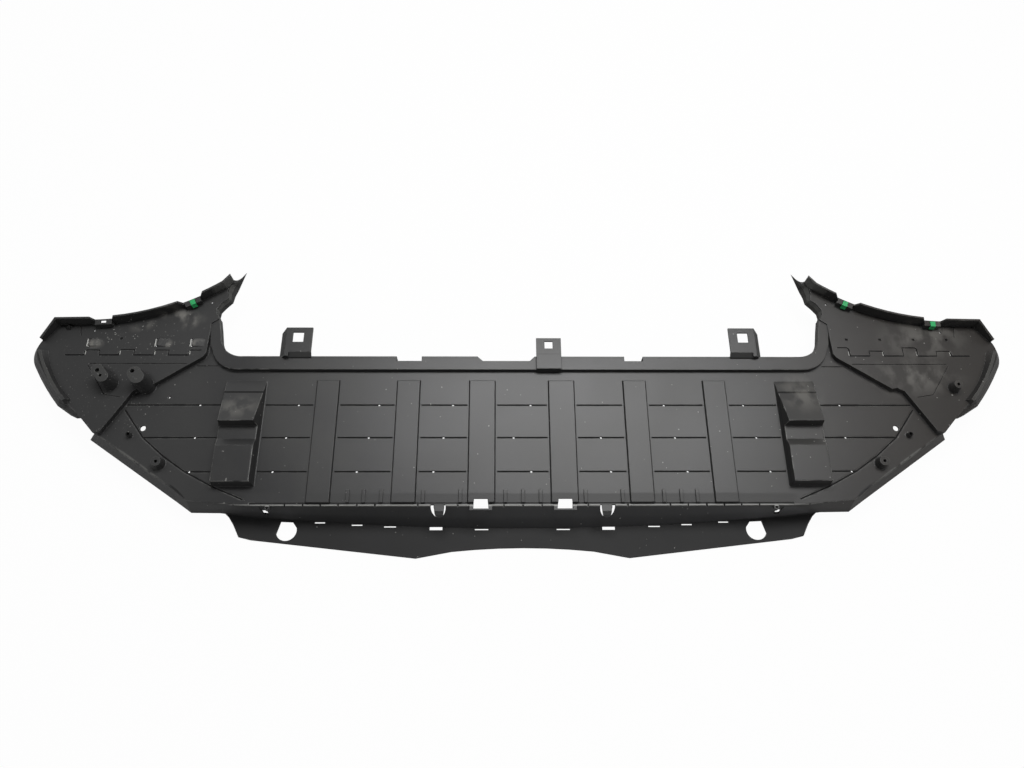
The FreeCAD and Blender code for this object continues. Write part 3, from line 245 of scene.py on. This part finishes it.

# corners: the rounded normal stands apart from the flat one along every edge, where the plastic is
# rubbed pale and carries a painted highlight, most on the humps and skirts with their wider
# corners;
# inner corners are darkened with painted shade
hump = look.band(side, *HUMP_SIDES, 0.003)
skirt = look.overlap(look.rise(side, 0.475, 0.485), look.rise(z, FLOOR_Z + 0.003, FLOOR_Z + 0.0015))
radius = look.overlap(look.either(hump, skirt), WIDER_RADIUS)
radius = look.joined("ADD", radius, CORNER_RADIUS)
rounded = look.add("ShaderNodeBevel", (("Radius", radius),), samples=6).outputs[0]
turned = look.add("ShaderNodeVectorMath", ((0, rounded), (1, flat)), operation="DOT_PRODUCT")
corner = look.rise(turned.outputs["Value"], 0.995, 0.85)
open_sky = look.add("ShaderNodeAmbientOcclusion", (("Distance", SHADE_REACH),), samples=8)
inner_corner_shade = look.rise(open_sky.outputs["AO"], 0.92, 0.5)
wear_and_highlight = look.rise(look.mottle(RUB_AND_HIGHLIGHT_SIZE, 3.0), 0.35, 0.65)
wear_and_highlight = look.overlap(wear_and_highlight, look.rise(inner_corner_shade, 0.3, 0.0))
hump_share = look.joined("ADD", look.overlap(hump, 0.5), 0.5)
look.paint(look.overlap(corner, wear_and_highlight, hump_share), "#7d7d7a")
# painted shade in the inner corners
look.paint(look.overlap(inner_corner_shade, 0.85), "#090909")

# the comb ledge's edge carries a painted highlight, a pale line broken at the two notches and near
# its ends
ledge_highlight = look.overlap(
    look.band(y, LEDGE_Y - 0.0012, LEDGE_Y + 0.0008, 0.0008),
    look.rise(side, LEDGE_END, LEDGE_END - 0.006),
    look.outside(look.band(side, 0.4300, 0.4320, 0.0005)),
    look.rise(z, FLOOR_Z - 0.004, FLOOR_Z - 0.002),
    look.outside(look.band(side, 0.1165, 0.1375, 0.0005)),
)
look.paint(look.overlap(ledge_highlight, 0.85), "#8f8f8c")

# the bead along each wing's outer edge carries a painted highlight on its crest
bead_highlight = look.overlap(look.rise(z, 0.0625, 0.0655), look.rise(side, 0.70, 0.72))
bead_highlight = look.overlap(bead_highlight, look.rise(y, 0.095, 0.085), look.rise(level, 0.5, 0.9), 0.5)
look.paint(bead_highlight, "#4c4c4a")

# painted shade darkens the grooves of the floor and of the wings
shaded_grooves = look.either(*(look.band(z, *depth, 0.0002) for depth in (FLOOR_GROOVE_Z, WING_GROOVE_Z)))
shaded_grooves = look.overlap(shaded_grooves, look.rise(y, LEDGE_Y + 0.004, LEDGE_Y + 0.008))
look.paint(look.overlap(shaded_grooves, 0.95), "#080808")

# a painted highlight runs along each skirt's upper edge as a pale bead, with painted shade as a
# dark gap inside its front end
for hand in (-1, 1):
    skirt_highlight = look.spot((hand * 0.5899, -0.0986, FLOOR_Z), (0.0961, 0.0034), hand * 0.588)
    look.paint(look.overlap(skirt_highlight, look.rise(wear_and_highlight, 0.0, 0.6), 0.9), "#6a6a67")
    gap_shade = look.spot((hand * 0.5165, -0.1463, FLOOR_Z), (0.0254, 0.0030), hand * 0.692)
    look.paint(look.rise(gap_shade, 0.15, 0.5), "#0a0a0a")

# painted light makes the pillars' tops paler, and painted shade draws dark gaps round the middle
# tab's root and along the band
pillar_top_light = look.rise(z, PILLAR_Z - 0.0018, PILLAR_Z - 0.0005)
look.paint(look.overlap(pillar_top_light, look.rise(level, 0.8, 0.95), 0.3), "#4a4a48")
MIDDLE_TAB_X, ROOT_HALF, ROOT_ENDS = 0.0435, 0.0204, (0.0506, 0.0768)
tab_off = look.away(x, MIDDLE_TAB_X)
tab_sides = look.overlap(
    look.band(tab_off, ROOT_HALF - 0.0012, ROOT_HALF, 0.0004),
    look.band(y, ROOT_ENDS[0] + 0.0014, ROOT_ENDS[1] - 0.0008, 0.0005),
)
tab_ends = look.either(
    look.band(y, ROOT_ENDS[1] - 0.0016, ROOT_ENDS[1], 0.0004),
    look.band(y, ROOT_ENDS[0], ROOT_ENDS[0] + 0.0014, 0.0004),
)
tab_ends = look.overlap(tab_ends, look.rise(tab_off, ROOT_HALF + 0.0001, ROOT_HALF - 0.0002))
beyond_tab = look.rise(tab_off, ROOT_HALF - 0.0002, ROOT_HALF + 0.0002)
beyond_tab = look.overlap(beyond_tab, look.rise(side, 0.440, 0.430), 0.7)
rear_gap = look.overlap(look.band(y, *BAND_GAP_Y, 0.0004), beyond_tab)
root_and_band_shade = look.either(tab_sides, tab_ends, rear_gap)
look.paint(look.overlap(root_and_band_shade, look.rise(z, 0.054, 0.056), 0.95), "#080808")

# painted shade draws a dark line along the foot of each rib behind the ledge
rib_foot_shade = [look.band(look.away(side, rib), RIB_HALF, RIB_HALF + 0.0008, 0.0005) for rib in RIBS]
behind_ledge = look.band(y, *RIB_ENDS, 0.002)
above_floor = look.rise(z, FLOOR_Z - 0.0020, FLOOR_Z - 0.0016)
look.paint(look.overlap(look.either(*rib_foot_shade), behind_ledge, above_floor, 0.8), "#0d0d0d")

# the line across each wing is a deep fold darkened with painted shade between its four tabs, with a
# pale mark in the slit beside each tab; the left wing's louvres each have a pale outer side and a
# gap darkened with painted shade
WING_TABS, WING_TAB_WIDTH = (0.5310, 0.5865, 0.6415, 0.6960), 0.0235
FOLD_Y, FOLD_ENDS = (0.07355, 0.07555), (0.528, 0.727)
fold_shade = look.overlap(
    look.band(y, *FOLD_Y, 0.0004),
    look.rise(side, FOLD_ENDS[1], FOLD_ENDS[1] - 0.002),
    look.rise(z, 0.054, 0.056),
)
for tab in WING_TABS:
    root = look.band(side, tab - WING_TAB_WIDTH, tab - 0.0005, 0.0004)
    fold_shade = look.overlap(fold_shade, look.outside(root))
fold_shade = look.overlap(fold_shade, look.rise(side, FOLD_ENDS[0], FOLD_ENDS[0] + 0.002))
look.paint(look.overlap(fold_shade, 0.95), "#070707")
for tab in WING_TABS:
    slit = look.band(side, tab - 0.0022, tab - 0.0004, 0.0004)
    slit = look.overlap(slit, look.band(y, 0.0760, 0.0820, 0.001))
    look.paint(look.overlap(slit, 0.8), "#b5b5b1")
for louvre in (-0.6935, -0.5852, -0.5293):
    along = look.band(y, 0.0905, 0.1025, 0.001)
    gap_shade = look.overlap(look.band(x, louvre + 0.0014, louvre + 0.0036, 0.0004), along)
    look.paint(look.overlap(gap_shade, 0.95), "#060606")
    slit = look.overlap(look.band(x, louvre - 0.0020, louvre + 0.0006, 0.0004), along)
    look.paint(look.overlap(slit, 0.9), "#cfcfcb")

# painted shade darkens the bore of the ring at the left wing's rear end
bore_shade = look.spot((-0.7295, 0.1239, 0.060), (0.0075, 0.0075))
look.paint(look.rise(bore_shade, 0.15, 0.35), "#060606")

# pale smears, some 20 mm across, where the wings and humps were handled, and painted light on the
# ramps beside the left wing's three louvres
smears_and_ramp_light = []
for centre, reach, turn, depth in (
    ((-0.552, 0.145, WING_Z), (0.048, 0.016), -0.15, 1.0),
    ((-0.535, 0.132, WING_Z), (0.022, 0.014), 0.8, 0.8),
    ((-0.613, 0.127, WING_Z), (0.026, 0.014), 0.3, 0.6),
    # these three are painted light on the louvre ramps
    ((-0.6814, 0.0945, WING_Z), (0.016, 0.011), 0.0, 1.5),
    ((-0.5722, 0.0953, WING_Z), (0.016, 0.011), 0.0, 1.6),
    ((-0.5165, 0.0954, WING_Z), (0.016, 0.011), 0.0, 1.4),
    ((-0.440, -0.018, 0.078), (0.046, 0.030), 0.2, 0.55),
    ((0.660, 0.110, WING_Z), (0.100, 0.060), 0.2, 0.4),
    ((0.630, 0.040, WING_Z), (0.100, 0.045), 0.0, 0.45),
    ((0.440, 0.010, 0.070), (0.050, 0.050), 0.0, 0.5),
):
    smears_and_ramp_light.append(look.overlap(look.spot(centre, reach, turn), depth))
smudge = look.rise(look.mottle(SMUDGE_SIZE, 6.0, stretch=(1.0, 0.7, 1.0)), 0.40, 0.62)
smears_and_ramp_light = look.overlap(look.either(*smears_and_ramp_light), smudge, 0.85)
look.paint(smears_and_ramp_light, "#787671")

# specks of grit, thickest on the left wing, with a few everywhere; each is drawn about a millimetre
# across, coarser than real grit, so that it shows
grit = look.rise(look.mottle(GRIT_SIZE, 1.0), 0.71, 0.76)
thick = look.spot((-0.62, 0.10, WING_Z), (0.14, 0.06))
near = look.either(thick, look.overlap(look.spot((-0.66, 0.0, WING_Z), (0.14, 0.12)), 0.5))
few = look.rise(look.mottle(SPECK_SIZE, 0.0), 0.850, 0.875)
grit = look.either(look.overlap(grit, near), look.overlap(few, 0.5))
look.paint(look.overlap(grit, 0.8), "#b4b3ae")
look.wire("Base Color", look.colour)

# roughness: steep faces have the coarser grain of the mould's drafted sides, and the grooves, the
# lip, the smears and the louvre ramps are dull; the satin grain is drawn as 1 mm bumps, coarser
# than the real one, so that it shows
rough = look.joined("ADD", look.overlap(cloud, 0.14), 0.34)
for mask, more in ((dip, 0.10), (shaded_grooves, 0.5), (lip, 0.28), (steep, 0.5), (smears_and_ramp_light, 0.3)):
    rough = look.joined("ADD", rough, look.overlap(mask, more))
look.wire("Roughness", rough)
grain = (("Height", look.mottle(GRAIN_SIZE, 2.0)), ("Distance", 0.0002), ("Strength", 0.35))
look.wire("Normal", look.add("ShaderNodeBump", grain + (("Normal", rounded),)).outputs[0])
panel.data.materials.clear()
panel.data.materials.append(look.material)

# Tongues: in each notch of the front wall the floor runs on as a thin rounded tongue, moulded with
# the panel, which curls down in front of the notch.
TONGUE_X, TONGUE_TOP = 0.1252, 0.0479
TONGUE_WIDTH, TONGUE_REACH, TONGUE_THICK = 0.0155, 0.0250, 0.0008
TONGUE_BENDS = ((-0.0185, 15), (-0.0160, 20), (-0.0125, 25), (-0.0092, 25))
TONGUE_ROOT = 0.001


def disc(width, depth, segments):
    """A flat oval in the plan, about the origin, as a bmesh."""
    oval = bmesh.new()
    bmesh.ops.create_circle(oval, cap_ends=True, segments=segments, radius=1.0)
    bmesh.ops.scale(oval, vec=(width / 2, depth / 2, 1.0), verts=oval.verts)
    return oval


def thicken(mesh, thick):
    """Draw a flat shape up into a plate."""
    drawn = bmesh.ops.extrude_face_region(mesh, geom=mesh.faces[:])["geom"]
    top = [vertex for vertex in drawn if isinstance(vertex, bmesh.types.BMVert)]
    bmesh.ops.translate(mesh, vec=(0, 0, thick), verts=top)


def add_piece(name, mesh, place, finish):
    """A bmesh set down at its place as a piece with its finish, riding with the panel."""
    bmesh.ops.translate(mesh, vec=place, verts=mesh.verts)
    bmesh.ops.recalc_face_normals(mesh, faces=mesh.faces)
    data = bpy.data.meshes.new(name)
    mesh.to_mesh(data)
    mesh.free()
    data.materials.append(finish)
    piece = bpy.data.objects.new(name, data)
    bpy.context.scene.collection.objects.link(piece)
    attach(piece, "root")


def cut_across(mesh, reach, clear):
    """Cut the tongue straight across at a reach, and drop what lies behind the cut if asked."""
    whole = mesh.verts[:] + mesh.edges[:] + mesh.faces[:]
    plane = {"plane_co": (0, reach, 0), "plane_no": (0, 1, 0)}
    bmesh.ops.bisect_plane(mesh, geom=whole, clear_outer=clear, **plane)


for hand, sign in (("left", -1), ("right", 1)):
    tongue = disc(TONGUE_WIDTH, TONGUE_REACH * 2, 40)
    for reach, turn in TONGUE_BENDS:
        cut_across(tongue, reach, False)
        tip = [vertex for vertex in tongue.verts if vertex.co.y < reach - 0.00001]
        down = Matrix.Rotation(math.radians(turn), 3, "X")
        bmesh.ops.rotate(tongue, cent=(0, reach, 0), matrix=down, verts=tip)
    cut_across(tongue, TONGUE_ROOT, True)
    thicken(tongue, TONGUE_THICK)
    place = (sign * TONGUE_X, LEDGE_Y, TONGUE_TOP)
    add_piece("notch_tongue_" + hand, tongue, place, look.material)

# Hooks: a small rounded hook fills the rear of each square hole along the wings, moulded with the
# panel for a foam strip or a wire to be pressed under.
HOOK_PLACES, HOOK_Y, HOOK_Z = (-0.6424, 0.5298, 0.5845, 0.6393, 0.6939), 0.1046, 0.0562
HOOK_WIDTH, HOOK_DEPTH, HOOK_THICK, HOOK_TILT = 0.0052, 0.0042, 0.0012, math.radians(20)
for number, hook_x in enumerate(HOOK_PLACES, 1):
    hook = disc(HOOK_WIDTH, HOOK_DEPTH, 20)
    thicken(hook, HOOK_THICK)
    tilt = Matrix.Rotation(HOOK_TILT, 3, "X")
    bmesh.ops.rotate(hook, cent=(0, 0, 0), matrix=tilt, verts=hook.verts)
    add_piece("wing_hook_%d" % number, hook, (hook_x, HOOK_Y, HOOK_Z), look.material)

# Clips: thin spring steel with a green baked coating, rubbed darker in patches a few millimetres
# across where they were pushed on. The coating's fine orange peel is drawn coarser than it is.
RUBBED_SIZE, PEEL_SIZE = 0.003846, 0.002
look = Finish("coated_spring_steel_green", "#2aa35f")
look.shader.inputs["Roughness"].default_value = 0.38
look.paint(look.rise(look.mottle(RUBBED_SIZE, 3.0), 0.55, 0.7), "#1f8a4d")
look.wire("Base Color", look.colour)
peel = (("Height", look.mottle(PEEL_SIZE, 2.0)), ("Distance", 0.0001), ("Strength", 0.3))
look.wire("Normal", look.add("ShaderNodeBump", peel).outputs[0])
for name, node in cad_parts.items():
    if name.startswith("edge_clip_"):
        node.data.materials.clear()
        node.data.materials.append(look.material)
